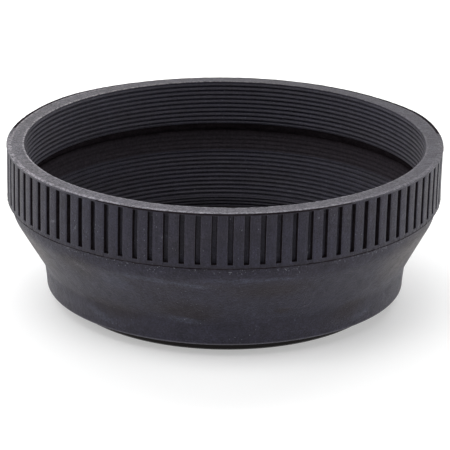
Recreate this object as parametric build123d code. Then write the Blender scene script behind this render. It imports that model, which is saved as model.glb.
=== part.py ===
from build123d import *
import math
import os

# A collapsible rubber lens hood for a 52 mm filter thread. Millimetres, +Z is the optical axis
# towards the subject, and the origin is the centre of the metal ring's rear face.
# Every piece is a ring, so most outlines below are (radius, height) points.

# Overall sizes
RIM_RADIUS = 35.0
TOTAL_HEIGHT = 25.7
EDGE_CHAMFER = 0.12

# Front band: a thick grip with upright slots outside and light-trapping grooves inside
BAND_HEIGHT = 8.8
BAND_INNER_RADIUS = 32.2
SLOT_COUNT = 90
SLOT_START = -0.3
SLOT_WIDTH = 0.85
SLOT_DEPTH = 0.75
SLOT_TOP_MARGIN = 0.42
SLOT_BOTTOM_MARGIN = 0.6
BAND_PLAIN_TOP = 0.53
BAND_GROOVES = 9
BAND_GROOVE_PITCH = 0.763
LIP_DROP = 7.6
LIP_CHAMFER = 0.45

# Light-trapping grooves
GROOVE_WIDTH = 0.42
GROOVE_FLOOR = 0.2
GROOVE_DEPTH = 0.28

# Hinge line: a thinned stretch of wall below the lip, where the cone bends against the band
HINGE_RADIUS = 33.6
HINGE_HEIGHT = 1.45

# Fold cone: the thin web that turns inside out when the hood is pushed back
CONE_TOP_RADIUS = 34.25
SHOULDER_INNER_RADIUS = 33.1
CONE_TOP_INNER_RADIUS = 32.55
CONE_BOTTOM_RADIUS = 29.35
CONE_BOTTOM_INNER_RADIUS = 28.65
CREASE_HEIGHT = 6.16
CONE_SLOPE = 0.56
SHOULDER_BEND = 4.0
SHOULDER_PLAIN = 0.65
SHOULDER_GROOVES = 4
CONE_GROOVES = 11

# Rear collar: the rubber cuff around the metal rings
COLLAR_RADIUS = 29.05
COLLAR_INNER_RADIUS = 28.4
COLLAR_NECK = 0.3
COLLAR_PLAIN = 0.15
COLLAR_GROOVES = 3

# Heights of the clamped stack: ring flange, rubber foot, retaining flange
SEAT_HEIGHT = 2.15
MOUNT_FLANGE = 0.6
FOOT_THICKNESS = 0.9
RETAINER_FLANGE = 0.6

# Mount ring: M52 x 0.75 male thread
THREAD_RADIUS = 26.0
THREAD_PITCH = 0.75
THREAD_DEPTH = 0.46
THREAD_ROOT_FLAT = 0.094
THREAD_HALF_ANGLE = 30.0
RELIEF_WIDTH = 0.35
LEAD_CHAMFER = 0.3
NECK_RADIUS = 26.2
MOUNT_BORE_RADIUS = 25.0
MOUNT_FLANGE_RADIUS = 28.0

# Retaining ring: pressed into the mount ring, with two slots for a pin spanner
CLEAR_RADIUS = 24.25
RETAINER_START = 0.5
RETAINER_FLANGE_RADIUS = 28.1
SPANNER_WIDTH = 1.6
SPANNER_DEPTH = 0.35
SPANNER_LENGTH = 1.6

BAND_BOTTOM = TOTAL_HEIGHT - BAND_HEIGHT
LIP_BOTTOM = TOTAL_HEIGHT - LIP_DROP
HINGE_BOTTOM = LIP_BOTTOM - HINGE_HEIGHT
FOOT_BOTTOM = SEAT_HEIGHT + MOUNT_FLANGE
FOOT_TOP = FOOT_BOTTOM + FOOT_THICKNESS
RETAINER_TOP = FOOT_TOP + RETAINER_FLANGE


def ring(edges):
    """Turn a closed outline of (radius, height) edges about the optical axis."""
    return revolve(Plane.XZ * make_face(edges), Axis.Z)


def polygon_ring(points):
    """Turn a closed (radius, height) polygon about the optical axis."""
    return ring(Polyline(*points, close=True))


def grooved_wall(start, end, grooves):
    """Points down an inner wall with even grooves cut into it, away from the axis."""
    length = math.dist(start, end)
    along = ((end[0] - start[0]) / length, (end[1] - start[1]) / length)
    into = (-along[1], along[0])
    step = length / grooves

    def point(distance, depth):
        return tuple(start[i] + along[i] * distance + into[i] * depth for i in (0, 1))

    points = [start]
    for count in range(grooves):
        middle = (count + 0.5) * step
        points.append(point(middle - GROOVE_WIDTH / 2, 0))
        points.append(point(middle - GROOVE_FLOOR / 2, GROOVE_DEPTH))
        points.append(point(middle + GROOVE_FLOOR / 2, GROOVE_DEPTH))
        points.append(point(middle + GROOVE_WIDTH / 2, 0))
    return points + [end]


def slot_cutters():
    """Upright boxes around the band, one for each slot."""
    height = BAND_HEIGHT - SLOT_TOP_MARGIN - SLOT_BOTTOM_MARGIN
    cutter = Box(2 * SLOT_DEPTH, SLOT_WIDTH, height, align=(Align.CENTER, Align.CENTER, Align.MIN))
    first = Pos(RIM_RADIUS, 0, BAND_BOTTOM + SLOT_BOTTOM_MARGIN) * cutter
    return [Rot(0, 0, SLOT_START + 360 * count / SLOT_COUNT) * first for count in range(SLOT_COUNT)]


def make_front_band():
    """The thick front of the hood: slotted outside, grooved inside, undercut below its lip."""
    wall_top = (BAND_INNER_RADIUS, TOTAL_HEIGHT - BAND_PLAIN_TOP)
    wall_bottom = (BAND_INNER_RADIUS, wall_top[1] - BAND_GROOVES * BAND_GROOVE_PITCH)
    outline = [(BAND_INNER_RADIUS + EDGE_CHAMFER, TOTAL_HEIGHT)]
    outline.append((BAND_INNER_RADIUS, TOTAL_HEIGHT - EDGE_CHAMFER))
    outline += grooved_wall(wall_top, wall_bottom, BAND_GROOVES)
    outline.append((BAND_INNER_RADIUS + LIP_CHAMFER, LIP_BOTTOM))
    outline.append((HINGE_RADIUS, LIP_BOTTOM))
    outline.append((HINGE_RADIUS, BAND_BOTTOM))
    outline.append((RIM_RADIUS - EDGE_CHAMFER, BAND_BOTTOM))
    outline.append((RIM_RADIUS, BAND_BOTTOM + EDGE_CHAMFER))
    outline.append((RIM_RADIUS, TOTAL_HEIGHT - EDGE_CHAMFER))
    outline.append((RIM_RADIUS - EDGE_CHAMFER, TOTAL_HEIGHT))
    return polygon_ring(outline) - slot_cutters()


def make_fold_cone():
    """The thin web: a hinge line and a short, steep shoulder, then a cone down to the crease."""
    outer_shoulder = CREASE_HEIGHT + (CONE_TOP_RADIUS - CONE_BOTTOM_RADIUS) / CONE_SLOPE
    inner_shoulder = CREASE_HEIGHT + (CONE_TOP_INNER_RADIUS - CONE_BOTTOM_INNER_RADIUS) / CONE_SLOPE
    shoulder_top = (SHOULDER_INNER_RADIUS, HINGE_BOTTOM)
    ribs_top = (SHOULDER_INNER_RADIUS, HINGE_BOTTOM - SHOULDER_PLAIN)
    bend = (CONE_TOP_INNER_RADIUS, inner_shoulder)
    foot = (CONE_BOTTOM_INNER_RADIUS, CREASE_HEIGHT)
    hinge = [(HINGE_RADIUS, BAND_BOTTOM), (HINGE_RADIUS, HINGE_BOTTOM), shoulder_top]
    steep = grooved_wall(ribs_top, bend, SHOULDER_GROOVES)
    slanted = grooved_wall(bend, foot, CONE_GROOVES)
    inner = Polyline(*hinge, *steep, *slanted[1:], (CONE_BOTTOM_RADIUS, CREASE_HEIGHT))
    outer = FilletPolyline(
        (CONE_BOTTOM_RADIUS, CREASE_HEIGHT),
        (CONE_TOP_RADIUS, outer_shoulder),
        (CONE_TOP_RADIUS, BAND_BOTTOM),
        radius=SHOULDER_BEND,
    )
    rim = Line((CONE_TOP_RADIUS, BAND_BOTTOM), (HINGE_RADIUS, BAND_BOTTOM))
    return ring([inner, outer, rim])


def make_rear_collar():
    """The rubber cuff, with the inward foot that the two metal flanges clamp."""
    wall_top = (COLLAR_INNER_RADIUS, CREASE_HEIGHT - COLLAR_PLAIN)
    wall_bottom = (COLLAR_INNER_RADIUS, RETAINER_TOP)
    outline = [(COLLAR_INNER_RADIUS, CREASE_HEIGHT)]
    outline += grooved_wall(wall_top, wall_bottom, COLLAR_GROOVES)
    outline.append((COLLAR_INNER_RADIUS, FOOT_TOP))
    outline.append((NECK_RADIUS, FOOT_TOP))
    outline.append((NECK_RADIUS, FOOT_BOTTOM))
    outline.append((MOUNT_FLANGE_RADIUS, FOOT_BOTTOM))
    outline.append((MOUNT_FLANGE_RADIUS, SEAT_HEIGHT))
    outline.append((COLLAR_RADIUS - EDGE_CHAMFER, SEAT_HEIGHT))
    outline.append((COLLAR_RADIUS, SEAT_HEIGHT + EDGE_CHAMFER))
    outline.append((COLLAR_RADIUS, CREASE_HEIGHT - COLLAR_NECK))
    outline.append((CONE_BOTTOM_RADIUS - EDGE_CHAMFER, CREASE_HEIGHT))
    return polygon_ring(outline)


def thread_groove():
    """The helical groove between the turns of the male thread, run out into the relief."""
    root = THREAD_RADIUS - THREAD_DEPTH
    reach = THREAD_DEPTH + LEAD_CHAMFER
    root_half = THREAD_ROOT_FLAT / 2
    mouth_half = root_half + reach * math.tan(math.radians(THREAD_HALF_ANGLE))
    path = Pos(0, 0, -THREAD_PITCH) * Helix(
        pitch=THREAD_PITCH, height=THREAD_PITCH + SEAT_HEIGHT - RELIEF_WIDTH / 2, radius=root
    )
    section_plane = Plane(origin=path @ 0, x_dir=(1, 0, 0), z_dir=path % 0)
    corners = [(0, -root_half), (0, root_half), (reach, mouth_half), (reach, -mouth_half)]
    section = section_plane * make_face(Polyline(*corners, close=True))
    return sweep(section, path=path, is_frenet=True)


def make_mount_ring():
    """The metal ring that screws into the lens: thread, seat flange and the neck in the foot."""
    root = THREAD_RADIUS - THREAD_DEPTH
    outline = [
        (MOUNT_BORE_RADIUS, 0),
        (THREAD_RADIUS - LEAD_CHAMFER, 0),
        (THREAD_RADIUS, LEAD_CHAMFER),
        (THREAD_RADIUS, SEAT_HEIGHT - RELIEF_WIDTH),
        (root, SEAT_HEIGHT - RELIEF_WIDTH),
        (root, SEAT_HEIGHT),
        (MOUNT_FLANGE_RADIUS, SEAT_HEIGHT),
        (MOUNT_FLANGE_RADIUS, FOOT_BOTTOM),
        (NECK_RADIUS, FOOT_BOTTOM),
        (NECK_RADIUS, FOOT_TOP),
        (MOUNT_BORE_RADIUS, FOOT_TOP),
    ]
    return polygon_ring(outline) - thread_groove()


def make_retaining_ring():
    """The inner metal ring: a thin tube with a flange that holds the rubber foot down."""
    outline = [
        (CLEAR_RADIUS, RETAINER_START),
        (MOUNT_BORE_RADIUS, RETAINER_START),
        (MOUNT_BORE_RADIUS, FOOT_TOP),
        (RETAINER_FLANGE_RADIUS, FOOT_TOP),
        (RETAINER_FLANGE_RADIUS, RETAINER_TOP),
        (CLEAR_RADIUS, RETAINER_TOP),
    ]
    slot = Box(SPANNER_LENGTH, SPANNER_WIDTH, 2 * SPANNER_DEPTH)
    slot_radius = RETAINER_FLANGE_RADIUS - SPANNER_LENGTH / 2
    slots = [Pos(side * slot_radius, 0, RETAINER_TOP) * slot for side in (-1, 1)]
    return polygon_ring(outline) - slots


pieces = {
    "front_band": make_front_band(),
    "fold_cone": make_fold_cone(),
    "rear_collar": make_rear_collar(),
    "mount_ring": make_mount_ring(),
    "retaining_ring": make_retaining_ring(),
}

os.makedirs("parts", exist_ok=True)
for name, piece in pieces.items():
    export_step(piece, f"parts/{name}.step")
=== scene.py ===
import math

import bpy
import numpy as np
from mathutils import Matrix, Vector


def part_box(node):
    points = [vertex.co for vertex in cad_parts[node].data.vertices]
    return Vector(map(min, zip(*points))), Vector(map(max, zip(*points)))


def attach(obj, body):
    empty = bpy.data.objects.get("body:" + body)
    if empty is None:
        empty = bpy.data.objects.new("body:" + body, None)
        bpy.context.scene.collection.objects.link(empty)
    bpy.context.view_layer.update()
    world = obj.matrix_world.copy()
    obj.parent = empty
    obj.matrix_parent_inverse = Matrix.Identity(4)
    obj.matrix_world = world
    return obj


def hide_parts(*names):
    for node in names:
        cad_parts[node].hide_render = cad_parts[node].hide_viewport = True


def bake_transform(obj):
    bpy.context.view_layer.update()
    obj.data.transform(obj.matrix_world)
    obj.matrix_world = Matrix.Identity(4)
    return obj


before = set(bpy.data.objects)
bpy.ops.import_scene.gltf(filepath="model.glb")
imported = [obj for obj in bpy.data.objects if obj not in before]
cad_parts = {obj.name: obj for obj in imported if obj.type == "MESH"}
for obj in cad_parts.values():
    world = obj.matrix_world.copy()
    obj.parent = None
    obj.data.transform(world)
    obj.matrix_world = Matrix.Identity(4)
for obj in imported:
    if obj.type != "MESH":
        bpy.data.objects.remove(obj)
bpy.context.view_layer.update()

# A collapsible rubber lens hood. Outlines are (radius, height, abrasion and painted light) points, in
# millimetres in the CAD frame, turned about +Z. They become metres when a mesh is made.
MM = 0.001


def level(node, corner):
    """The lowest (0) or highest (1) height of a CAD node, in millimetres."""
    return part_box(node)[corner][2] / MM


RIM_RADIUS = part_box("front_band")[1][0] / MM
BAND_TOP = level("front_band", 1)
BAND_BOTTOM = level("front_band", 0)
CREASE = level("fold_cone", 0)
SEAT = level("rear_collar", 0)
MOUNT_FLANGE = 0.6
FOOT_THICKNESS = 0.9
RETAINER_FLANGE = 0.6
FLANGE_TOP = SEAT + MOUNT_FLANGE
FOOT_TOP = FLANGE_TOP + FOOT_THICKNESS
RETAINER_TOP = FOOT_TOP + RETAINER_FLANGE

# Front band
BAND_INNER_RADIUS = 32.2
BAND_FACE_MIDDLE = 33.6
BAND_GROOVES = 9
BAND_GROOVE_PITCH = 0.763
BAND_PLAIN_TOP = 0.53
LIP_DROP = 7.6
LIP_BOTTOM = BAND_TOP - LIP_DROP
SLOT_COUNT = 90
SLOT_START = math.radians(-0.3)
SLOT_WIDTH = 0.85
SLOT_DEPTH = 0.75
SLOT_TOP_MARGIN = 0.42
SLOT_BOTTOM_MARGIN = 0.6
RIM_EDGE = 0.07
RIM_FLARE = 0.08
RIM_MARGIN = 0.15
RIM_MARGIN_BEHIND = 0.3
# A painted highlight line runs round the front face: where it starts, is full and ends, in from the margin
RIM_LINE = (0.45, 0.32, 0.06)
# How far down the wall the painted shade under the rim's edge is still full, and where half of it is left
RIM_SHADE_DROPS = (0.16, 0.24)
INNER_FACE_RADII = (32.9, 32.6)
INNER_LINE_RADIUS = 32.45
REAR_FACE_RADII = (34.5, 33.9)
FOOT_EDGE = 0.14
# How far above its edge's arc the band's wall already carries half of the painted shade along its foot
FOOT_SHADE_RISE = 0.05
RIM_ROUGHNESS = 0.05
FLASH_ROUGHNESS = 0.24
# A faint first groove under the rim's inner edge: how deep it is at each distance down
FIRST_GROOVE = ((0.0, 0.13), (0.08, 0.2), (0.1, 0.27), (0.08, 0.34), (0.0, 0.42))
# The lip's lower edge: distances out from its inner wall and up from its underside
LIP_EDGE = ((0.04, 0.12), (0.16, 0.0))
# Nicks in the rim's inner edge: degrees right of the front, half width and depth in millimetres
NICKS = (
    (1.4, 0.45, 0.3), (2.9, 0.4, 0.34), (4.6, 0.3, 0.3), (6.2, 0.5, 0.22),
    (8.6, 0.4, 0.32), (10.6, 0.6, 0.16), (-14, 0.5, 0.12),
)

# Hinge line below the lip, and the fold cone under it
HINGE_RADIUS = 33.6
HINGE_HEIGHT = 1.45
HINGE_BOTTOM = LIP_BOTTOM - HINGE_HEIGHT
HINGE_FILLET = 0.15
LEDGE_EDGE = 0.1
CONE_TOP_RADIUS = 34.25
SHOULDER_INNER_RADIUS = 33.1
CONE_TOP_INNER_RADIUS = 32.55
CONE_BOTTOM_RADIUS = 29.35
CONE_BOTTOM_INNER_RADIUS = 28.65
CONE_SLOPE = 0.56
CREASE_SOFTNESS = 0.25
# The web's top goes up into the band, so that no gap shows between them
TONGUE = 0.3
TONGUE_REACH = 0.2
SHOULDER_BEND = 4.0
SHOULDER_PLAIN = 0.65
SHOULDER_GROOVES = 4
CONE_GROOVES = 11
LOW_GROOVES = 4

# Rear collar
COLLAR_RADIUS = 29.05
COLLAR_INNER_RADIUS = 28.4
COLLAR_FLARE = 0.1
COLLAR_PLAIN = 0.15
COLLAR_GROOVES = 3
COLLAR_EDGE = 0.12
COLLAR_SEAT_RADII = (28.4, 28.8)
COLLAR_WALL_START = 0.3
FLANGE_RADIUS = 28.0
NECK_RADIUS = 26.2

# Moulded rubber is never quite true: the front leans and sags to one side, and its rim is out of round
LEAN = 0.1
WAIST_LEAN = 0.16
SAG = 0.12
SWELL = 0.3
# Bulges of the rim's outside: direction and half width in degrees, size in millimetres
BULGES = ((25, 13, 0.5), (137, 16, 0.55))

# Light-trapping grooves: how deep the groove is (1 is full) at each part of a rib's pitch
LIP_GROOVE_DEPTH = 0.4
SHOULDER_GROOVE_DEPTH = 0.14
CONE_GROOVE_DEPTH = 0.24
GROOVE_SHAPE = (
    (0.05, 0.0), (0.19, 0.03), (0.27, 0.35), (0.35, 0.93),
    (0.5, 1.0), (0.65, 0.93), (0.73, 0.35), (0.81, 0.03),
)

# Abrasion and painted light of each kind of surface: above 0 is pale, abraded in some places and a painted
# highlight in others, below 0 is painted shade, and below the first number the face also takes the matte
# painted-shade rubber. The groove numbers of the cone, its low ribs and the lip are painted shade taken off
# at the bottom of a groove.
SHADE_MATERIAL_LIMIT = -0.4
# A painted glint along the rim's inner edge
EDGE_HIGHLIGHT = 0.5
# Painted highlights: the pale lines by the rim's edges, and the rim's outer edge at the sides
LINE_HIGHLIGHT = 0.31
SIDE_HIGHLIGHT = 0.12
# Partly abraded pale and partly a painted highlight: the collar's lower edge and the rims' faces
COLLAR_EDGE_WEAR_AND_HIGHLIGHT = 0.3
FACE_WEAR_AND_HIGHLIGHT = 0.12
# The rim's marks, painted highlights and shade among them, are stronger towards one side: by how much, and
# that side's direction in degrees
RIM_LIGHT_SWING = 0.8
RIM_LIGHT_SIDE = 220
# Painted shade at the rim's outer edge and just under it
RIM_SHADE = -1.0
# Degrees round from the front: the rim's edge has a painted highlight up to the first number and painted
# shade from the second on, and the line of painted shade under it is full up to the third and gone at the
# fourth
HIGHLIGHT_END = 90
SHADE_START = 105
LINE_FULL = 20
LINE_END = 45
# Painted highlights on rib crests and painted shade in the grooves: of the cone, its low ribs, the collar and
# the lip
RIB_HIGHLIGHT = 0.06
CONE_RIB_HIGHLIGHT = 0.05
CONE_GROOVE_SHADE = 0.3
LOW_RIB_HIGHLIGHT = 0.08
LOW_GROOVE_SHADE = 0.35
COLLAR_RIB_HIGHLIGHT = 0.2
LIP_RIB_HIGHLIGHT = 0.13
LIP_GROOVE_SHADE = 0.2
# A faint painted highlight on slot edges, and painted shade on slot walls and floors
SLOT_EDGE_HIGHLIGHT = 0.1
SLOT_WALL_SHADE = -1.0
SLOT_FLOOR_SHADE = -0.2
# Painted shade under the band's foot, where it meets the cone
FOOT_SHADE = -1.0
# Painted shade in the recess under the lip, and on the shoulder in the lip's shadow
RECESS_SHADE = -1.0
SHOULDER_TOP_SHADE = -0.65
SHOULDER_SHADE = -0.48

# How far in a slot's wall is (1 is the floor) at each distance inside the slot's edge
SLOT_EDGE = ((-0.08, 0.0), (-0.02, 0.03), (0.0, 0.15), (0.02, 0.93), (0.07, 1.0))

# Mesh columns: those of a turned piece, and the fine columns of each slot that the band's inside shares
LATHE_COLUMNS = 360
SHARED_COLUMNS = (0, 1, 2, 6, 7, 8, 12, 13)
SHARP_ANGLE = math.radians(50)


# ---------------------------------------------------------------- outlines

def arc(centre, radius, start, end, count, wear_and_painted_light=0.0):
    """Points of an arc in the (radius, height) plane, angles in degrees."""
    points = []
    for angle in np.radians(np.linspace(start, end, count)):
        points.append((centre[0] + radius * math.cos(angle), centre[1] + radius * math.sin(angle), wear_and_painted_light))
    return points


def between(start, end, share):
    """The point at a share of the way from start to end."""
    return start[0] + share * (end[0] - start[0]), start[1] + share * (end[1] - start[1])


def line(start, end, count, wear_and_painted_light=0.0):
    """Evenly spaced points between two points, without its ends."""
    return [(*between(start, end, share), wear_and_painted_light) for share in np.linspace(0, 1, count + 2)[1:-1]]


def grooved(start, end, count, groove_depth, wear_and_painted_light=0.0, groove_shade=0.0):
    """An inner wall from start down to end with count grooves cut away from the axis, with painted shade
    inside them and painted highlights on the crests.
    """
    length = math.dist(start, end)
    along = ((end[0] - start[0]) / length, (end[1] - start[1]) / length)
    into = (-along[1], along[0])
    points = []
    for index in range(count):
        for share, depth in GROOVE_SHAPE:
            run = (index + share) * length / count
            cut = depth * groove_depth
            radius = start[0] + along[0] * run + into[0] * cut
            height = start[1] + along[1] * run + into[1] * cut
            points.append((radius, height, wear_and_painted_light + RIB_HIGHLIGHT * (1 - depth) - groove_shade * depth))
    return points


# ---------------------------------------------------------------- meshes

def untrue(points):
    """Lean and bend millimetre points out of round, more towards the front of the hood."""
    angle = np.arctan2(points[:, 1], points[:, 0])
    radius = np.hypot(points[:, 0], points[:, 1])
    share = np.clip((points[:, 2] - CREASE) / (BAND_TOP - CREASE), 0, 1)
    outside = np.clip((radius - BAND_INNER_RADIUS) / (RIM_RADIUS - BAND_INNER_RADIUS), 0, 1)
    bulge = np.zeros(len(points))
    for where, width, size in BULGES:
        bulge += size * np.exp(-(((np.degrees(angle) - where) / width) ** 2))
    swell = SWELL * ((1 + np.sin(angle)) / 2) ** 2
    offset = share * (swell + outside * (bulge - swell))
    waist = np.sin(math.pi * share)
    points[:, 0] += offset * np.cos(angle) - LEAN * share - WAIST_LEAN * waist
    points[:, 1] += offset * np.sin(angle)
    points[:, 2] += SAG * waist * np.cos(angle)
    return points


def ring_points(outline, angles):
    """Every outline point at every angle: an array of shape (outline, angles, 3), in millimetres."""
    profile = np.array([point[:2] for point in outline])
    radius = np.repeat(profile[:, :1], len(angles), axis=1)
    height = np.repeat(profile[:, 1:], len(angles), axis=1)
    return np.stack([radius * np.cos(angles), radius * np.sin(angles), height], axis=2)


def outline_wear_and_light(outline, columns):
    """Every outline point's abrasion and painted light at every column."""
    return np.repeat([point[2] for point in outline], columns).reshape(len(outline), -1)


def grid_faces(rows, columns, offset=0, closed=False):
    """Quads of a grid that closes round the ring, and across the outline too if closed."""
    faces = []
    for row in range(rows if closed else rows - 1):
        near = offset + row * columns
        far = offset + (row + 1) % rows * columns
        for column in range(columns):
            after = (column + 1) % columns
            faces.append((near + column, far + column, far + after, near + after))
    return faces


def make_object(name, points, faces, wear_and_painted_light, materials):
    """A mesh object from millimetre points. Its abrasion and painted light are a vertex attribute, and its
    faces of deepest painted shade take the matte painted-shade rubber.
    """
    mesh = bpy.data.meshes.new(name)
    mesh.from_pydata((points * MM).tolist(), [], faces)
    attribute = mesh.attributes.new("wear_and_painted_light", "FLOAT", "POINT")
    attribute.data.foreach_set("value", np.asarray(wear_and_painted_light, np.float32))
    mesh.shade_smooth()
    mesh.set_sharp_from_angle(angle=SHARP_ANGLE)
    for material in materials:
        mesh.materials.append(material)
    deep_shade = [sum(wear_and_painted_light[corner] for corner in face) / len(face) < SHADE_MATERIAL_LIMIT for face in faces]
    mesh.polygons.foreach_set("material_index", np.array(deep_shade, np.int32))
    mesh.update()
    piece = bpy.data.objects.new(name, mesh)
    bpy.context.scene.collection.objects.link(piece)
    return piece


def lathe(name, outline, materials):
    """A closed outline turned round the axis as rubber."""
    angles = np.linspace(0, 2 * math.pi, LATHE_COLUMNS, endpoint=False)
    points = untrue(ring_points(outline, angles).reshape(-1, 3))
    wear_and_painted_light = outline_wear_and_light(outline, LATHE_COLUMNS).ravel()
    faces = grid_faces(len(outline), LATHE_COLUMNS, closed=True)
    return make_object(name, points, faces, wear_and_painted_light, materials)


def ragged(count, width, seed):
    """Smooth noise round the ring, one value for each column, from -1 to 1."""
    noise = np.random.default_rng(seed).normal(size=count)
    window = np.hanning(width + 2)
    wrapped = np.concatenate([noise[-width:], noise, noise[:width]])
    smooth = np.convolve(wrapped, window, "same")[width:-width]
    return smooth / np.abs(smooth).max()


# ---------------------------------------------------------------- front band

def slot_columns():
    """Offsets round the rim, in millimetres from a slot's centre, that the fine columns stand at."""
    half = SLOT_WIDTH / 2
    edge = [half - distance for distance, depth in SLOT_EDGE]
    pitch = 2 * math.pi * RIM_RADIUS / SLOT_COUNT
    side = [(pitch / 2 + edge[0]) / 2] + edge
    return [-pitch / 2] + [-offset for offset in side] + [0.0] + side[::-1]


def slot_rows():
    """Heights up the outer wall: close together at the slots' ends, wide between."""
    low = BAND_BOTTOM + SLOT_BOTTOM_MARGIN
    high = BAND_TOP - SLOT_TOP_MARGIN
    lower = [low + distance for distance, depth in SLOT_EDGE]
    upper = [high - distance for distance, depth in SLOT_EDGE][::-1]
    middle = list(np.linspace(lower[-1], upper[0], 8)[1:-1])
    return lower + middle + upper


def slot_depth(offset, height):
    """How deep the slot is at an offset from its centre and a height, in millimetres."""
    distances, depths = zip(*SLOT_EDGE)
    across = np.interp(SLOT_WIDTH / 2 - abs(offset), distances, depths)
    low = BAND_BOTTOM + SLOT_BOTTOM_MARGIN
    high = BAND_TOP - SLOT_TOP_MARGIN
    up = np.interp(min(height - low, high - height), distances, depths)
    return SLOT_DEPTH * min(across, up)


def slot_highlight_and_shade(offset, height):
    """Slot edges get a faint painted highlight, and slots get painted shade, darkest on their walls."""
    depth = slot_depth(offset, height) / SLOT_DEPTH
    if depth < 0.5:
        return SLOT_EDGE_HIGHLIGHT if depth > 0.01 else 0.0
    return SLOT_FLOOR_SHADE if depth > 0.98 else SLOT_WALL_SHADE


def band_outer_outline():
    """From the middle of the front face, out over the rim and down to the middle of the rear face."""
    margin = RIM_RADIUS - RIM_MARGIN
    line_start, line_full, line_end = (margin - inset for inset in RIM_LINE)
    drop_full, drop_half = RIM_SHADE_DROPS
    rim = [(BAND_FACE_MIDDLE, BAND_TOP, FACE_WEAR_AND_HIGHLIGHT), (line_start, BAND_TOP, FACE_WEAR_AND_HIGHLIGHT)]
    rim += [(line_full, BAND_TOP, LINE_HIGHLIGHT), (line_end, BAND_TOP, LINE_HIGHLIGHT), (margin, BAND_TOP, RIM_SHADE)]
    rim += arc((RIM_RADIUS + RIM_FLARE - RIM_EDGE, BAND_TOP - RIM_EDGE), RIM_EDGE, 90, 0, 4, RIM_SHADE)
    rim.append((RIM_RADIUS + RIM_FLARE / 2, BAND_TOP - drop_full, RIM_SHADE))
    rim.append((RIM_RADIUS, BAND_TOP - drop_half, RIM_SHADE / 2))
    wall = [(RIM_RADIUS, height, 0.0) for height in reversed(slot_rows())]
    foot = [(RIM_RADIUS, BAND_BOTTOM + FOOT_EDGE + FOOT_SHADE_RISE, FOOT_SHADE / 2)]
    foot += arc((RIM_RADIUS - FOOT_EDGE, BAND_BOTTOM + FOOT_EDGE), FOOT_EDGE, 0, -90, 4, FOOT_SHADE)
    rear = [(REAR_FACE_RADII[0], BAND_BOTTOM, FOOT_SHADE), (REAR_FACE_RADII[1], BAND_BOTTOM, 0.0)]
    return rim, wall, foot + rear


def band_inner_outline():
    """From just inside the middle of the front face, in over the rim and down the ribs to the rear face."""
    rim = [(radius, BAND_TOP, FACE_WEAR_AND_HIGHLIGHT) for radius in INNER_FACE_RADII]
    rim.append((INNER_LINE_RADIUS, BAND_TOP, LINE_HIGHLIGHT))
    rim += arc((BAND_INNER_RADIUS + RIM_EDGE, BAND_TOP - RIM_EDGE), RIM_EDGE, 90, 180, 4, EDGE_HIGHLIGHT)
    for cut, drop in FIRST_GROOVE:
        rim.append((BAND_INNER_RADIUS + cut, BAND_TOP - drop, 0.0 if cut else LIP_RIB_HIGHLIGHT))
    wall_top = (BAND_INNER_RADIUS, BAND_TOP - BAND_PLAIN_TOP)
    wall_bottom = (BAND_INNER_RADIUS, wall_top[1] - BAND_GROOVES * BAND_GROOVE_PITCH)
    ribs = grooved(wall_top, wall_bottom, BAND_GROOVES, LIP_GROOVE_DEPTH, LIP_RIB_HIGHLIGHT, LIP_GROOVE_SHADE)
    lip = [(BAND_INNER_RADIUS + out, LIP_BOTTOM + up, 0.0) for out, up in LIP_EDGE]
    corner = (HINGE_RADIUS - HINGE_FILLET, LIP_BOTTOM - HINGE_FILLET)
    lip += line(lip[-1], (corner[0], LIP_BOTTOM), 3, RECESS_SHADE)
    lip += arc(corner, HINGE_FILLET, 90, 0, 4, RECESS_SHADE)
    return rim + ribs + lip + [(HINGE_RADIUS, BAND_BOTTOM, RECESS_SHADE)]


def stitch(fine, coarse, picks):
    """Faces between a fine ring and a coarse ring. Picks are the fine columns of a slot that both have."""
    faces = []
    per_slot = len(fine) // SLOT_COUNT
    starts = [slot * per_slot + pick for slot in range(SLOT_COUNT) for pick in picks]
    for index, start in enumerate(starts):
        end = starts[(index + 1) % len(starts)]
        run = (end - start) % len(fine)
        edge = [fine[(start + step) % len(fine)] for step in range(run + 1)]
        faces.append((coarse[index], *edge, coarse[(index + 1) % len(coarse)]))
    return faces


def roughen(rows, size, width, seed):
    """Move the rows of an edge unevenly by up to a size in millimetres, smoothed over a width in columns."""
    wave = size * ragged(rows.shape[1], width, seed)
    rows[:, :, :2] *= (1 - wave / 2 / RIM_RADIUS)[:, None]
    rows[:, :, 2] -= (size + wave) / 2


def rim_light_swing(angles):
    """The rim's marks, its painted highlights and painted shade among them, are stronger towards one side: a
    factor for each angle.
    """
    return 1 + RIM_LIGHT_SWING * np.cos(angles - math.radians(RIM_LIGHT_SIDE))


def rim_edge_light(rows, angles):
    """The rim's outer edge has painted shade behind and a painted highlight in front, over a line of painted
    shade that gives way to a faint painted highlight at the sides.
    """
    ahead = np.abs((np.degrees(angles) + 270) % 360 - 180)
    behind = np.clip((ahead - HIGHLIGHT_END) / (SHADE_START - HIGHLIGHT_END), 0, 1)
    line_share = np.clip((LINE_END - ahead) / (LINE_END - LINE_FULL), 0, 1)
    pale = LINE_HIGHLIGHT * rim_light_swing(angles)
    low = RIM_SHADE * line_share + SIDE_HIGHLIGHT * (1 - line_share)
    for step, row in enumerate(rows):
        front = pale if step < 2 else low
        row[:] = behind * row + (1 - behind) * front


def nick(rows, angles):
    """Small torn notches in the rim's inner edge, at the front."""
    for where, width, depth in NICKS:
        distance = np.abs(angles % (2 * math.pi) - math.radians(270 + where)) * BAND_INNER_RADIUS
        notch = depth * np.clip(1 - distance / width, 0, 1)
        rows[:, :, :2] *= (1 + notch / BAND_INNER_RADIUS)[:, None]
        rows[:, :, 2] -= notch


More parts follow.
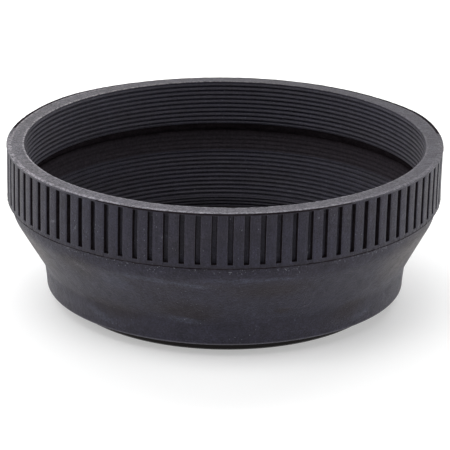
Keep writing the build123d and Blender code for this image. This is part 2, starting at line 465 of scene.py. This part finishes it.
def band_columns():
    """Angles of the fine columns of the band's outside and of the coarse columns of its inside."""
    offsets = np.array(slot_columns()) / RIM_RADIUS
    slots = np.arange(SLOT_COUNT) * 2 * math.pi / SLOT_COUNT + SLOT_START
    fine = np.concatenate([angle + offsets for angle in slots])
    coarse = np.concatenate([angle + offsets[list(SHARED_COLUMNS)] for angle in slots])
    return fine, coarse


def band_outside(angles):
    """Points, abrasion and painted light of the outside: the rim, the wall with its slots cut in, and the
    foot.
    """
    rim, wall, foot = band_outer_outline()
    outline = rim + wall + foot
    points = ring_points(outline, angles)
    wear_and_painted_light = outline_wear_and_light(outline, len(angles))
    offsets = slot_columns()
    for row, (radius, height, _) in enumerate(wall, len(rim)):
        for index, offset in enumerate(offsets):
            points[row, index::len(offsets), :2] *= 1 - slot_depth(offset, height) / radius
            wear_and_painted_light[row, index::len(offsets)] = slot_highlight_and_shade(offset, height)

    # Rows of the rim: 0 its face, 1 to 4 the painted highlight line and the margin, 5 to 8 the edge's arc,
    # then its painted shade
    wider = RIM_MARGIN_BEHIND * np.clip(1 + np.sin(angles), 0, 1)
    points[1:5, :, :2] *= (1 - wider / RIM_RADIUS)[:, None]
    roughen(points[5:9], RIM_ROUGHNESS, 4, 11)
    wear_and_painted_light[:4] *= rim_light_swing(angles)
    rim_edge_light(wear_and_painted_light[4:len(rim)], angles)

    # The foot's upper rows and its arc's lower rows are rough apart, and the arc's middle stays true
    below = len(rim) + len(wall)
    roughen(points[below:below + 2], FLASH_ROUGHNESS, 4, 12)
    roughen(points[below + 3:below + 5], FLASH_ROUGHNESS, 5, 14)
    return points, wear_and_painted_light


def band_inside(angles):
    """Points, abrasion and painted light of the inside: the rim with its nicked edge, the ribs, the lip and
    the hinge line.
    """
    outline = band_inner_outline()
    points = ring_points(outline, angles)
    wear_and_painted_light = outline_wear_and_light(outline, len(angles))
    edge = slice(3, 7)
    roughen(points[edge], RIM_ROUGHNESS, 3, 13)
    nick(points[edge], angles)
    wear_and_painted_light[:edge.stop] *= rim_light_swing(angles)
    return points, wear_and_painted_light


def band_faces(outer_rows, inner_rows, fine, coarse):
    """Faces of the outside, the inside, and the flat front and rear between them."""
    start = outer_rows * fine
    last = start + (inner_rows - 1) * coarse
    faces = grid_faces(outer_rows, fine)
    faces += [face[::-1] for face in grid_faces(inner_rows, coarse, offset=start)]
    faces += stitch(list(range(fine)), list(range(start, start + coarse)), SHARED_COLUMNS)
    rear = stitch(list(range(start - fine, start)), list(range(last, last + coarse)), SHARED_COLUMNS)
    return faces + [face[::-1] for face in rear]


def make_front_band(materials):
    """The front band: fine columns outside for its slots, coarse columns inside for its ribs."""
    fine, coarse = band_columns()
    outer_points, outer_wear_and_light = band_outside(fine)
    inner_points, inner_wear_and_light = band_inside(coarse)
    faces = band_faces(len(outer_points), len(inner_points), len(fine), len(coarse))
    points = np.concatenate([outer_points.reshape(-1, 3), inner_points.reshape(-1, 3)])
    wear_and_painted_light = np.concatenate([outer_wear_and_light.ravel(), inner_wear_and_light.ravel()])
    band = make_object("front_band_rubber", untrue(points), faces, wear_and_painted_light, materials)
    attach(band, "hood_front")
    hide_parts("front_band")
    return band


# ---------------------------------------------------------------- fold cone and rear collar

def outer_wall(height):
    """The rubber's outer radius from the collar up past the soft crease into the cone."""
    share = min(max((height - SEAT) / (CREASE - SEAT), 0), 1)
    collar = COLLAR_RADIUS + (CONE_BOTTOM_RADIUS - COLLAR_RADIUS) * share * share * (3 - 2 * share)
    rise = CONE_SLOPE * (height - CREASE)
    return collar + (rise + math.hypot(rise, CREASE_SOFTNESS)) / 2


def cone_inner_outline():
    """Down the web's inside: hinge line, ledge, upright ribs, slanted ribs and the crease."""
    bend_height = CREASE + (CONE_TOP_INNER_RADIUS - CONE_BOTTOM_INNER_RADIUS) / CONE_SLOPE
    top = (SHOULDER_INNER_RADIUS, HINGE_BOTTOM - SHOULDER_PLAIN)
    bend = (CONE_TOP_INNER_RADIUS, bend_height)
    foot = (CONE_BOTTOM_INNER_RADIUS, CREASE)
    hinge_corner = (HINGE_RADIUS - HINGE_FILLET, HINGE_BOTTOM + HINGE_FILLET)
    ledge_edge = (SHOULDER_INNER_RADIUS + LEDGE_EDGE, HINGE_BOTTOM - LEDGE_EDGE)
    outline = [(HINGE_RADIUS + TONGUE_REACH, BAND_BOTTOM + TONGUE, RECESS_SHADE)]
    outline.append((HINGE_RADIUS, BAND_BOTTOM, RECESS_SHADE))
    outline += arc(hinge_corner, HINGE_FILLET, 0, -90, 4, RECESS_SHADE)
    outline += arc(ledge_edge, LEDGE_EDGE, 90, 180, 4, RECESS_SHADE)
    middle = between(top, bend, 0.5)
    knee = between(bend, foot, 1 - LOW_GROOVES / CONE_GROOVES)
    outline += grooved(top, middle, SHOULDER_GROOVES // 2, SHOULDER_GROOVE_DEPTH, SHOULDER_TOP_SHADE)
    outline += grooved(middle, bend, SHOULDER_GROOVES // 2, SHOULDER_GROOVE_DEPTH, SHOULDER_SHADE)
    outline += grooved(bend, knee, CONE_GROOVES - LOW_GROOVES, CONE_GROOVE_DEPTH, CONE_RIB_HIGHLIGHT, CONE_GROOVE_SHADE)
    outline += grooved(knee, foot, LOW_GROOVES, CONE_GROOVE_DEPTH, LOW_RIB_HIGHLIGHT, LOW_GROOVE_SHADE)
    return outline + [(*foot, 0.0)]


def cone_outer_outline():
    """Up the web's outside: the crease, the straight cone, the bent shoulder and the top."""
    half_angle = math.atan(CONE_SLOPE)
    shoulder = CREASE + (CONE_TOP_RADIUS - CONE_BOTTOM_RADIUS) / CONE_SLOPE
    tangent = SHOULDER_BEND * math.tan(half_angle / 2)
    bend_start = shoulder - tangent * math.cos(half_angle)
    bend_centre = (CONE_TOP_RADIUS - SHOULDER_BEND, shoulder + tangent)
    heights = np.linspace(CREASE, bend_start, 28)[:-1]
    outline = [(outer_wall(height), height, 0.0) for height in heights]
    outline += arc(bend_centre, SHOULDER_BEND, -math.degrees(half_angle), 0, 12)
    outline += line((CONE_TOP_RADIUS, bend_centre[1]), (CONE_TOP_RADIUS, BAND_BOTTOM), 6)
    return outline + [(CONE_TOP_RADIUS, BAND_BOTTOM + TONGUE, FOOT_SHADE)]


def make_fold_cone(materials):
    """The folding web, bent between the still base and the moving front."""
    outline = cone_inner_outline() + cone_outer_outline()
    cone = lathe("fold_cone_rubber", outline, materials)
    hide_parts("fold_cone")
    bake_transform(cone)
    return cone


def collar_outline():
    """The cuff and its inward foot."""
    wall_top = (COLLAR_INNER_RADIUS, CREASE - COLLAR_PLAIN)
    wall_bottom = (COLLAR_INNER_RADIUS, RETAINER_TOP)
    outline = [(COLLAR_INNER_RADIUS + COLLAR_FLARE, CREASE, 0.0)]
    outline += grooved(wall_top, wall_bottom, COLLAR_GROOVES, CONE_GROOVE_DEPTH, COLLAR_RIB_HIGHLIGHT, LOW_GROOVE_SHADE)
    outline += [(COLLAR_INNER_RADIUS, FOOT_TOP, 0.0), (NECK_RADIUS, FOOT_TOP, 0.0)]
    outline += [(NECK_RADIUS, FLANGE_TOP, 0.0), (FLANGE_RADIUS, FLANGE_TOP, 0.0), (FLANGE_RADIUS, SEAT, 0.0)]
    outline += [(radius, SEAT, 0.0) for radius in COLLAR_SEAT_RADII]
    edge = (COLLAR_RADIUS - COLLAR_EDGE, SEAT + COLLAR_EDGE)
    outline += arc(edge, COLLAR_EDGE, -90, 0, 5, COLLAR_EDGE_WEAR_AND_HIGHLIGHT)
    heights = np.linspace(SEAT + COLLAR_WALL_START, CREASE, 20)
    return outline + [(outer_wall(height), height, 0.0) for height in heights]


def make_rear_collar(materials):
    """The still cuff around the metal rings."""
    collar = lathe("rear_collar_rubber", collar_outline(), materials)
    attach(collar, "base")
    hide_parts("rear_collar")
    return collar


# ---------------------------------------------------------------- materials

BLACK = (0.0140, 0.0130, 0.0235)
WARM = (0.0150, 0.0135, 0.0215)
BLUE = (0.0140, 0.0138, 0.0255)
BROWN = (0.0095, 0.0068, 0.0110)
SMEAR = (0.0380, 0.0420, 0.0640)
SMEAR_SHARE = 0.55
# Colour of the painted sheen near both sides
SIDE_SHEEN_COLOUR = (0.0420, 0.0360, 0.0370)
# The pale colour of abrasion and of painted highlights, at the front and at the back of the rim
HIGHLIGHT_AND_WEAR_FRONT = (0.295, 0.284, 0.325)
HIGHLIGHT_AND_WEAR_BACK = (0.315, 0.292, 0.295)
# The colour that painted shade darkens the rubber towards
PAINTED_SHADE = (0.0065, 0.0052, 0.0055)
DUST = (0.160, 0.165, 0.190)
STREAKS = (0.75, 1.25)
LINES = (0.6, 1.4)
MOTTLE = (0.65, 1.35)
GRAIN = (0.2, 1.8)
# Colours of the matte painted-shade rubber
SHADE_DARK = (0.0110, 0.0085, 0.0105)
SHADE_PALE = (0.0220, 0.0180, 0.0210)
SHADE_BROWN = (0.0335, 0.0290, 0.0345)


class Tree:
    """A helper that adds nodes to a node tree, and knows the coordinates that its patterns use."""

    def __init__(self, tree, coordinates):
        self.tree = tree
        self.where = tree.nodes.new("ShaderNodeTexCoord").outputs[coordinates]
        axes = tree.nodes.new("ShaderNodeSeparateXYZ")
        self.link(self.where, axes.inputs["Vector"])
        self.x, self.y, self.z = axes.outputs

    def link(self, output, target):
        self.tree.links.new(output, target)

    def feed(self, value, target):
        """Give an input a socket, a colour or a plain number."""
        if isinstance(value, bpy.types.NodeSocket):
            self.link(value, target)
        else:
            target.default_value = (*value, 1) if isinstance(value, tuple) else value

    def maths(self, operation, first, second=0.0, clamp=False):
        node = self.tree.nodes.new("ShaderNodeMath")
        node.operation = operation
        node.use_clamp = clamp
        self.feed(first, node.inputs[0])
        self.feed(second, node.inputs[1])
        return node.outputs[0]


class Nodes(Tree):
    """A helper that builds one material."""

    def __init__(self, name):
        self.material = bpy.data.materials.new(name)
        self.material.use_nodes = True
        super().__init__(self.material.node_tree, "Object")
        self.shader = self.tree.nodes["Principled BSDF"]

    def combine(self, x, y, z):
        node = self.tree.nodes.new("ShaderNodeCombineXYZ")
        for value, target in zip((x, y, z), node.inputs):
            self.feed(value, target)
        return node.outputs["Vector"]

    def radius(self):
        """Distance from the optical axis."""
        square = self.maths("ADD", self.maths("POWER", self.x, 2), self.maths("POWER", self.y, 2))
        return self.maths("SQRT", square)

    def ringwise(self, squeeze):
        """Coordinates squeezed across the ring, so that a pattern runs along it."""
        across = self.maths("ADD", self.z, self.radius())
        return self.combine(self.x, self.y, self.maths("MULTIPLY", across, squeeze))

    def upright(self, stretch):
        """Coordinates stretched along the height, so that a pattern runs up the wall."""
        return self.combine(self.x, self.y, self.maths("MULTIPLY", self.z, stretch))

    def noise(self, scale, detail=3.0, roughness=0.55, vector=None):
        node = self.tree.nodes.new("ShaderNodeTexNoise")
        node.inputs["Scale"].default_value = scale
        node.inputs["Detail"].default_value = detail
        node.inputs["Roughness"].default_value = roughness
        self.link(vector or self.where, node.inputs["Vector"])
        return node.outputs["Fac"]

    def ramp(self, value, *stops):
        """A colour ramp through (position, grey or colour) stops."""
        node = self.tree.nodes.new("ShaderNodeValToRGB")
        elements = node.color_ramp.elements
        while len(elements) < len(stops):
            elements.new(0.5)
        for element, (position, colour) in zip(elements, stops):
            element.position = position
            element.color = (*colour, 1) if isinstance(colour, tuple) else (colour, colour, colour, 1)
        self.link(value, node.inputs["Fac"])
        return node.outputs["Color"]

    def mix(self, factor, first, second):
        """Mix two colours, each a socket or a plain colour."""
        node = self.tree.nodes.new("ShaderNodeMix")
        node.data_type = "RGBA"
        for value, target in ((factor, node.inputs[0]), (first, node.inputs[6]), (second, node.inputs[7])):
            self.feed(value, target)
        return node.outputs[2]

    def levels(self, value, low, high):
        """A grey map from low to high over the middle of a noise, which can pass 1."""
        node = self.tree.nodes.new("ShaderNodeMapRange")
        for name, number in (("From Min", 0.3), ("From Max", 0.7), ("To Min", low), ("To Max", high)):
            node.inputs[name].default_value = number
        self.link(value, node.inputs["Value"])
        return node.outputs["Result"]

    def window(self, value, low, peak, high):
        """Rises from 0 at low to 1 at peak and falls to 0 at high."""
        rise = self.maths("DIVIDE", self.maths("SUBTRACT", value, low), peak - low, clamp=True)
        fall = self.maths("DIVIDE", self.maths("SUBTRACT", high, value), high - peak, clamp=True)
        return self.maths("MINIMUM", rise, fall)

    def scale(self, colour, factor):
        """A colour made lighter or darker by a factor."""
        node = self.tree.nodes.new("ShaderNodeVectorMath")
        node.operation = "SCALE"
        self.link(colour, node.inputs["Vector"])
        self.link(factor, node.inputs["Scale"])
        return node.outputs["Vector"]

    def marks(self, places):
        """A mask of soft patches on the wall, from the places that are listed below."""
        angle = self.maths("ARCTAN2", self.x, self.maths("MULTIPLY", self.y, -1))
        along = self.maths("MULTIPLY", angle, WALL_RADIUS)
        where = self.combine(along, self.maths("DIVIDE", self.z, MM), 0.0)
        mask = None
        for x, height, length, width, tilt in places:
            mapping = self.tree.nodes.new("ShaderNodeMapping")
            mapping.vector_type = "TEXTURE"
            mapping.inputs["Location"].default_value = (x, height, 0)
            mapping.inputs["Rotation"].default_value = (0, 0, math.radians(tilt))
            mapping.inputs["Scale"].default_value = (length, width, 1)
            self.link(where, mapping.inputs["Vector"])
            patch = self.tree.nodes.new("ShaderNodeTexGradient")
            patch.gradient_type = "SPHERICAL"
            self.link(mapping.outputs["Vector"], patch.inputs["Vector"])
            mask = self.maths("MAXIMUM", patch.outputs["Fac"], mask) if mask else patch.outputs["Fac"]
        return mask

    def attribute(self, name):
        node = self.tree.nodes.new("ShaderNodeAttribute")
        node.attribute_name = name
        return node.outputs["Fac"]

    def bump(self, height, distance, strength, normal=None):
        node = self.tree.nodes.new("ShaderNodeBump")
        node.inputs["Distance"].default_value = distance
        node.inputs["Strength"].default_value = strength
        self.link(height, node.inputs["Height"])
        if normal:
            self.link(normal, node.inputs["Normal"])
        return node.outputs["Normal"]


# Marks on the rubber's outside: how far right of the front along the wall, height, half length and half
# height in millimetres, and tilt in degrees
WALL_RADIUS = 32.0
BROWN_STAINS = (
    (7.3, 12.5, 8.5, 2.0, 0), (-19.5, 6.2, 7.5, 1.8, 0), (-5.6, 7.9, 6.5, 2.8, -4),
    (22.9, 5.6, 4.5, 1.9, 12), (-24.0, 13.6, 5.5, 2.2, 0), (9.5, 8.0, 2.0, 0.8, 0),
)
PALE_SMEARS = (
    (-11.6, 14.0, 5.5, 0.6, -2), (-5.0, 13.5, 4.2, 0.6, -8), (-22.9, 4.2, 3.6, 0.9, -15),
    (-17.0, 12.2, 3.5, 1.8, -6), (-6.7, 6.2, 4.5, 0.8, -5), (26.5, 3.9, 3.5, 0.7, 12),
    (4.0, 14.6, 9.0, 0.5, 0),
)
# Painted sheen: pale warm patches on the cone near both sides, where grazing light is reflected
SIDE_SHEEN_PLACES = ((34.5, 12.5, 9.5, 5.0, 0), (-36.0, 12.0, 7.0, 4.0, 0))
SCUFFS = (
    (-27.1, 20.0, 1.0, 0.35, 10), (-22.4, 20.4, 0.8, 0.2, 60), (-22.9, 13.6, 1.3, 0.4, -25),
    (27.2, 13.5, 2.0, 0.12, 50), (26.0, 13.0, 1.4, 0.1, 48), (-24.6, 16.2, 0.5, 0.3, 0),
    (12.0, 19.0, 1.6, 0.12, 75), (-8.5, 21.5, 0.5, 0.3, 0),
)


# Specks of dust show where a noise passes a limit. More of them lie in clusters, and on the cone just below
# the band, at these distances down from it
SPECK_LIMIT = 0.815
CLUSTER_DUST = 0.085
LEDGE_DUST = 0.12
LEDGE_DROPS = (1.6, 0.5, 0.1)
# How much of the rubber's colour a scuff and a speck cover
SCUFF_SHARE = 0.5
SPECK_SHARE = 0.8
# The rim's face counts as what lies within this distance of the top
RIM_FACE_DEPTH = 0.1
# Faces of the matte painted-shade rubber at least this far in from the hinge line's wall are browner where
# their painted shade is lighter
HINGE_WALL_DEPTH = 0.05


def stained_rubber(n):
    """The rubber's colour: blue-black with grain, with stains and smears along the ring, and a painted sheen
    near both sides.
    """
    runs = n.noise(170, 6, 0.8, n.ringwise(7))
    tone = n.ramp(n.noise(60, 4, 0.6, n.ringwise(3)), (0.36, WARM), (0.50, BLACK), (0.66, BLUE))
    brown = n.maths("MULTIPLY", n.marks(BROWN_STAINS), n.levels(runs, 0.6, 2.4), clamp=True)
    smear = n.maths("MULTIPLY", n.marks(PALE_SMEARS), n.levels(runs, 0.2, 2.6), clamp=True)
    side_sheen = n.maths("MULTIPLY", n.marks(SIDE_SHEEN_PLACES), n.levels(runs, 0.5, 2.2), clamp=True)
    colour = n.mix(brown, tone, BROWN)
    colour = n.mix(n.maths("MULTIPLY", smear, SMEAR_SHARE), colour, SMEAR)
    colour = n.mix(side_sheen, colour, SIDE_SHEEN_COLOUR)
    on_band = n.maths("GREATER_THAN", n.z, BAND_BOTTOM * MM)
    streaks = n.levels(n.noise(2200, 3, 0.6, n.upright(0.05)), *STREAKS)
    lines = n.levels(n.noise(900, 4, 0.7, n.ringwise(6)), *LINES)
    mottle = n.levels(n.noise(420, 6, 0.85), *MOTTLE)
    grain = n.levels(n.noise(3600, 3, 0.85), *GRAIN)
    return n.scale(n.scale(n.scale(colour, mottle), grain), n.mix(on_band, lines, streaks))


def rubbed_and_highlighted_rubber(n, body):
    """Pale where the abrasion and painted light attribute says, abraded in places and a painted highlight in
    others, in stronger patches on the rim's face.
    """
    on_rim = n.maths("GREATER_THAN", n.z, (BAND_TOP - RIM_FACE_DEPTH) * MM)
    patches = n.noise(2400, 4, 0.85)
    pale_patches = n.mix(on_rim, n.levels(patches, 0.5, 1.0), n.levels(patches, -1.2, 2.7))
    pale_share = n.maths("MULTIPLY", n.attribute("wear_and_painted_light"), pale_patches, clamp=True)
    backward = n.maths("ADD", n.maths("DIVIDE", n.y, 2 * RIM_RADIUS * MM), 0.5, clamp=True)
    pale = n.mix(n.maths("MULTIPLY", backward, on_rim), HIGHLIGHT_AND_WEAR_FRONT, HIGHLIGHT_AND_WEAR_BACK)
    return n.mix(pale_share, body, pale)


def dust_mask(n):
    """Scuffs at their places, and specks of dust."""
    scuffs = n.maths("MULTIPLY", n.marks(SCUFFS), n.levels(n.noise(3400, 3, 0.8), -2.0, 3.0), clamp=True)
    clusters = n.ramp(n.noise(140, 3, 0.6), (0.45, 0.0), (0.62, 1.0))
    ledge = n.window(n.z, *((BAND_BOTTOM - drop) * MM for drop in LEDGE_DROPS))
    clustered = n.maths("MULTIPLY", clusters, CLUSTER_DUST)
    dusty = n.maths("ADD", clustered, n.maths("MULTIPLY", ledge, LEDGE_DUST))
    specks = n.maths("GREATER_THAN", n.maths("ADD", n.noise(4200, 1, 0.5), dusty), SPECK_LIMIT)
    scuffed = n.maths("MULTIPLY", scuffs, SCUFF_SHARE)
    return n.maths("MAXIMUM", scuffed, n.maths("MULTIPLY", specks, SPECK_SHARE))


def rubber_material():
    """Aged black rubber: blue-black, with brown stains, pale smears, scuffs and dust, abraded pale in places,
    painted highlights on edges and rib crests, painted shade in grooves, slots and recesses, and a painted
    sheen near both sides.
    """
    n = Nodes("aged_black_rubber")
    pale_marked = rubbed_and_highlighted_rubber(n, stained_rubber(n))
    # Painted shade: where the attribute is below 0 the rubber darkens
    shaded = n.mix(n.maths("MULTIPLY", n.attribute("wear_and_painted_light"), -1, clamp=True), pale_marked, PAINTED_SHADE)
    n.link(n.mix(dust_mask(n), shaded, DUST), n.shader.inputs["Base Color"])
    n.link(n.levels(n.noise(420, 6, 0.85), 0.62, 0.42), n.shader.inputs["Roughness"])
    n.shader.inputs["Specular IOR Level"].default_value = 0.28
    n.shader.inputs["Specular Tint"].default_value = (0.97, 0.93, 1.0, 1)
    n.shader.inputs["Sheen Weight"].default_value = 0.08
    n.shader.inputs["Sheen Roughness"].default_value = 0.45
    n.shader.inputs["Sheen Tint"].default_value = (1.0, 0.95, 0.93, 1)
    coarse = n.bump(n.noise(900, 5, 0.8), 0.00015, 0.7)
    n.link(n.bump(n.noise(3800, 3, 0.7), 0.00008, 0.9, coarse), n.shader.inputs["Normal"])
    return n.material


def painted_shade_rubber_material():
    """The same rubber as a matte, darker copy for painted shade: almost black, a little brown and quite
    matte.
    """
    n = Nodes("painted_shade_rubber")
    tone = n.ramp(n.noise(420, 5, 0.8, n.ringwise(3)), (0.35, SHADE_DARK), (0.65, SHADE_PALE))
    lighter = n.maths("MULTIPLY", n.maths("ADD", n.attribute("wear_and_painted_light"), 1), 2, clamp=True)
    inside = n.maths("LESS_THAN", n.radius(), (HINGE_RADIUS - HINGE_WALL_DEPTH) * MM)
    tone = n.mix(n.maths("MULTIPLY", lighter, inside), tone, SHADE_BROWN)
    n.link(n.scale(tone, n.levels(n.noise(2400, 3, 0.8), *MOTTLE)), n.shader.inputs["Base Color"])
    n.link(n.levels(n.noise(900, 4, 0.7), 0.8, 0.95), n.shader.inputs["Roughness"])
    n.shader.inputs["Specular IOR Level"].default_value = 0.0
    n.link(n.bump(n.noise(2600, 3, 0.8), 0.00006, 0.7), n.shader.inputs["Normal"])
    return n.material


def metal_material():
    """Turned aluminium, black anodised: fine lathe lines."""
    n = Nodes("black_anodised_aluminium")
    lathe_lines = n.noise(260, 4, 0.7, n.ringwise(60))
    tint = n.ramp(lathe_lines, (0.35, (0.0045, 0.0030, 0.0030)), (0.7, (0.0120, 0.0090, 0.0090)))
    n.link(tint, n.shader.inputs["Base Color"])
    n.shader.inputs["Specular IOR Level"].default_value = 0.2
    n.link(n.ramp(lathe_lines, (0.3, 0.30), (0.7, 0.46)), n.shader.inputs["Roughness"])
    n.link(n.bump(lathe_lines, 0.00002, 0.5), n.shader.inputs["Normal"])
    return n.material


def floor_material():
    """A plain pale studio floor."""
    n = Nodes("pale_floor")
    n.link(n.ramp(n.noise(6, 2), (0.3, 0.68), (0.7, 0.70)), n.shader.inputs["Base Color"])
    n.shader.inputs["Roughness"].default_value = 0.9
    n.shader.inputs["Emission Color"].default_value = (1, 1, 1, 1)
    n.shader.inputs["Emission Strength"].default_value = FLOOR_GLOW
    return n.material


def dress_metal(material):
    """The two metal rings keep their CAD shape and take the anodised finish."""
    for name in ("mount_ring", "retaining_ring"):
        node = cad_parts[name]
        node.data.materials.clear()
        node.data.materials.append(material)


# ---------------------------------------------------------------- camera, floor and light

# The camera's distance and its height above the rim are in rim radii
CAMERA_AWAY = 10.51
CAMERA_ABOVE = 3.443
CAMERA_PITCH = 20.17
CAMERA_ROLL = 0.5
CAMERA_LENS = 192.3
FLOOR_SIZE = 3.0
FLOOR_GLOW = 0.36
# Panels of the surround: strengths, and sines of the elevations that they start and end at. A sine above 1
# is past the zenith, so that the overhead panel has no upper edge.
AMBIENT = 0.05
FLOOR_SINE = -0.5
LEFT_GLOW = 1.9
LEFT_TOP = 0.75
RIGHT_GLOW = 2.6
RIGHT_TOP = 0.47
BACK_GLOW = 4.2
BACK_FOOT = 0.47
BACK_TOP = 0.85
TOP_GLOW = 3.0
PAST_ZENITH = 2.0
# The overhead panel is brighter to the left, by this share at the horizon
TOP_LEAN = 1.3
# How softly the panels fade at their sides, and at their tops and bottoms
SIDE_BLUR = 0.15
END_BLUR = 0.09


def make_camera():
    """The main view: a long lens, a little above the rim."""
    data = bpy.data.cameras.new("camera")
    data.sensor_width = 36
    data.lens = CAMERA_LENS
    data.clip_start = 0.01
    data.clip_end = 20
    camera = bpy.data.objects.new("camera", data)
    bpy.context.scene.collection.objects.link(camera)
    radius = RIM_RADIUS * MM
    place = Matrix.Translation((0, -CAMERA_AWAY * radius, BAND_TOP * MM + CAMERA_ABOVE * radius))
    tilt = Matrix.Rotation(math.radians(90 - CAMERA_PITCH), 4, "X")
    camera.matrix_world = place @ tilt @ Matrix.Rotation(math.radians(CAMERA_ROLL), 4, "Z")
    bpy.context.scene.camera = camera


def make_floor():
    """A large pale floor that the ring stands on."""
    mesh = bpy.data.meshes.new("floor")
    half = FLOOR_SIZE / 2
    corners = [(-half, -half, 0), (half, -half, 0), (half, half, 0), (-half, half, 0)]
    mesh.from_pydata(corners, [], [(0, 1, 2, 3)])
    mesh.materials.append(floor_material())
    floor = bpy.data.objects.new("floor", mesh)
    bpy.context.scene.collection.objects.link(floor)


class Sky(Tree):
    """A helper that builds the world's light as a sum of soft panels."""

    def __init__(self, world):
        super().__init__(world.node_tree, "Generated")

    def fade(self, value, start, end):
        """0 at start, 1 at end and smooth between."""
        node = self.tree.nodes.new("ShaderNodeMapRange")
        node.interpolation_type = "SMOOTHSTEP"
        node.inputs["From Min"].default_value = start
        node.inputs["From Max"].default_value = end
        self.link(value, node.inputs["Value"])
        return node.outputs["Result"]

    def quarter(self, ahead, aside):
        """1 within 45 degrees of one axis, where ahead is larger than aside."""
        return self.fade(self.maths("SUBTRACT", ahead, self.maths("ABSOLUTE", aside)), -SIDE_BLUR, SIDE_BLUR)

    def panel(self, window, low, high, strength):
        """A soft panel: a window round the horizon, between two sines of elevation."""
        rise = self.fade(self.z, low - END_BLUR, low + END_BLUR)
        fall = self.fade(self.z, high + END_BLUR, high - END_BLUR)
        shape = self.maths("MULTIPLY", window, self.maths("MULTIPLY", rise, fall))
        return self.maths("MULTIPLY", shape, strength)


def make_surround():
    """A soft studio surround: panels low at both sides, a bright one high at the back and one overhead."""
    world = bpy.data.worlds.new("surround")
    world.use_nodes = True
    sky = Sky(world)
    left, right = sky.maths("MULTIPLY", sky.x, -1), sky.x
    front = sky.maths("MULTIPLY", sky.y, -1)
    lean = sky.maths("ADD", sky.maths("MULTIPLY", left, TOP_LEAN), 1)
    overhead = sky.maths("MULTIPLY", sky.fade(front, -SIDE_BLUR, SIDE_BLUR), lean)
    panels = [
        sky.panel(sky.quarter(left, sky.y), FLOOR_SINE, LEFT_TOP, LEFT_GLOW),
        sky.panel(sky.quarter(right, sky.y), FLOOR_SINE, RIGHT_TOP, RIGHT_GLOW),
        sky.panel(sky.quarter(sky.y, sky.x), BACK_FOOT, BACK_TOP, BACK_GLOW),
        sky.panel(overhead, BACK_TOP, PAST_ZENITH, TOP_GLOW),
    ]
    glow = AMBIENT
    for panel in panels:
        glow = sky.maths("ADD", panel, glow)
    # The camera sees the surround as plain white
    seen = sky.tree.nodes.new("ShaderNodeLightPath").outputs["Is Camera Ray"]
    background = sky.tree.nodes["Background"]
    sky.link(sky.maths("MAXIMUM", glow, seen), background.inputs["Strength"])
    background.inputs["Color"].default_value = (1, 1, 1, 1)
    bpy.context.scene.world = world


# ---------------------------------------------------------------- the scene

make_camera()
make_floor()
make_surround()
bpy.context.scene.view_settings.view_transform = "Standard"
rubber = (rubber_material(), painted_shade_rubber_material())
make_front_band(rubber)
make_fold_cone(rubber)
make_rear_collar(rubber)
dress_metal(metal_material())
